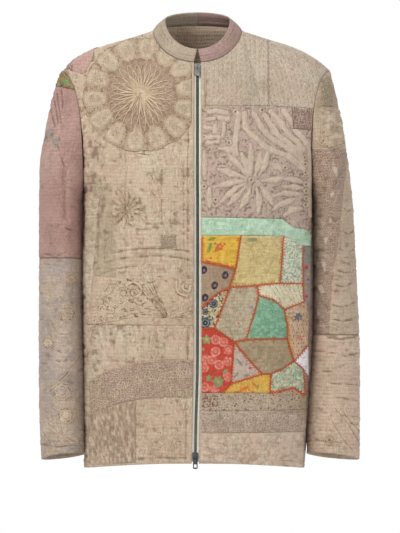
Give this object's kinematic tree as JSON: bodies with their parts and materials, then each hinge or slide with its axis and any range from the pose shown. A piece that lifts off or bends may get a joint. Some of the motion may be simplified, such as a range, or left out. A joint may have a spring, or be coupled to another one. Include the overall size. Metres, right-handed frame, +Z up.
{
  "type": "worn patched boro jacket",
  "caption": "Quilted patchwork zip jacket in its worn shape with no wearer: low band collar, straight sleeves, lace, cutwork and crazy patches, open neck, cuffs and hem.",
  "frame": {"origin": "middle of the neck base at shoulder height, where the wearer's shoulders hold the jacket up", "axes": "+Z up, the front faces -Y, +X is the wearer's left"},
  "size_m": [0.5462, 0.264, 0.78],
  "materials": {
    "beige_cloth": "quilted cotton, running stitches",
    "pink_cloth": "dusty pink quilted cotton",
    "mauve_cloth": "dusty mauve cotton",
    "lace_cloth": "cream lace and crochet",
    "cutwork_cloth": "cutwork embroidery",
    "mint_cloth": "mint cotton",
    "yellow_cloth": "yellow print",
    "khaki_cloth": "cream khaki print",
    "brown_cloth": "brown print",
    "sage_cloth": "grey sage cotton",
    "cream_cloth": "cream striped cotton",
    "green_cloth": "green cotton",
    "flower_cloth": "small flower print",
    "olive_cloth": "olive brown cotton",
    "red_cloth": "red print",
    "white_cloth": "worn white scrap",
    "dark_print_cloth": "dark print",
    "zip_tape": "cream woven tape",
    "zip_metal": "dull grey-green metal",
    "bright_metal": "worn silver grey",
    "dark_metal": "gunmetal"
  },
  "bodies": {
    "jacket": {"front_right": "beige_cloth", "front_left": "beige_cloth", "back": "beige_cloth", "sleeve_right_upper": "pink_cloth", "sleeve_right_lower": "beige_cloth", "sleeve_left_upper": "beige_cloth", "sleeve_left_lower": "beige_cloth", "collar_right": "beige_cloth", "collar_left": "mauve_cloth", "zip_tape_right": "zip_tape", "zip_tape_left": "zip_tape", "zip_chain_right": "zip_metal", "zip_chain_left": "zip_metal", "zip_slider_top": "bright_metal", "zip_slider_bottom": "dark_metal", "mauve_lace_piece": "mauve_cloth", "cutwork_panel": "cutwork_cloth", "mint_band": "mint_cloth", "dark_print_strip": "dark_print_cloth", "patch_yellow_flowers": "yellow_cloth", "patch_khaki": "khaki_cloth", "patch_mint_strip": "flower_cloth", "patch_brown_dots": "brown_cloth", "patch_rosettes": "brown_cloth", "patch_sage": "sage_cloth", "patch_cream_stripes": "cream_cloth", "patch_green": "green_cloth", "patch_many_flowers": "flower_cloth", "patch_olive": "olive_cloth", "patch_red_curls": "red_cloth", "patch_mauve_triangle": "sage_cloth", "patch_yellow_leaves": "yellow_cloth", "patch_mint_flowers": "flower_cloth", "patch_white_scrap": "white_cloth", "crochet_band": "lace_cloth", "lace_hem_band": "lace_cloth", "hem_band_left": "beige_cloth", "lace_medallion": "lace_cloth", "shoulder_patch": "pink_cloth", "dotted_side_strip": "beige_cloth", "embroidered_band": "beige_cloth", "mesh_square": "lace_cloth", "lace_slant_band": "lace_cloth", "ruched_panel": "beige_cloth", "sleeve_print_patch": "dark_print_cloth", "green_lace_patch": "dark_print_cloth", "bird_patch": "lace_cloth"},
    "top_pull": {"zip_pull_top": "bright_metal"},
    "bottom_pull": {"zip_pull_bottom": "dark_metal"}
  },
  "joints": [
    {"name": "top_pull_hinge", "type": "hinge", "parent": "jacket", "child": "top_pull", "pos_m": [0, -0.06861, -0.06519], "axis": [-1, 0, 0], "range_deg": [0, 150]},
    {"name": "bottom_pull_hinge", "type": "hinge", "parent": "jacket", "child": "bottom_pull", "pos_m": [-0.00357, -0.13135, -0.7215], "axis": [-1, 0, 0], "range_deg": [0, 150]}
  ]
}
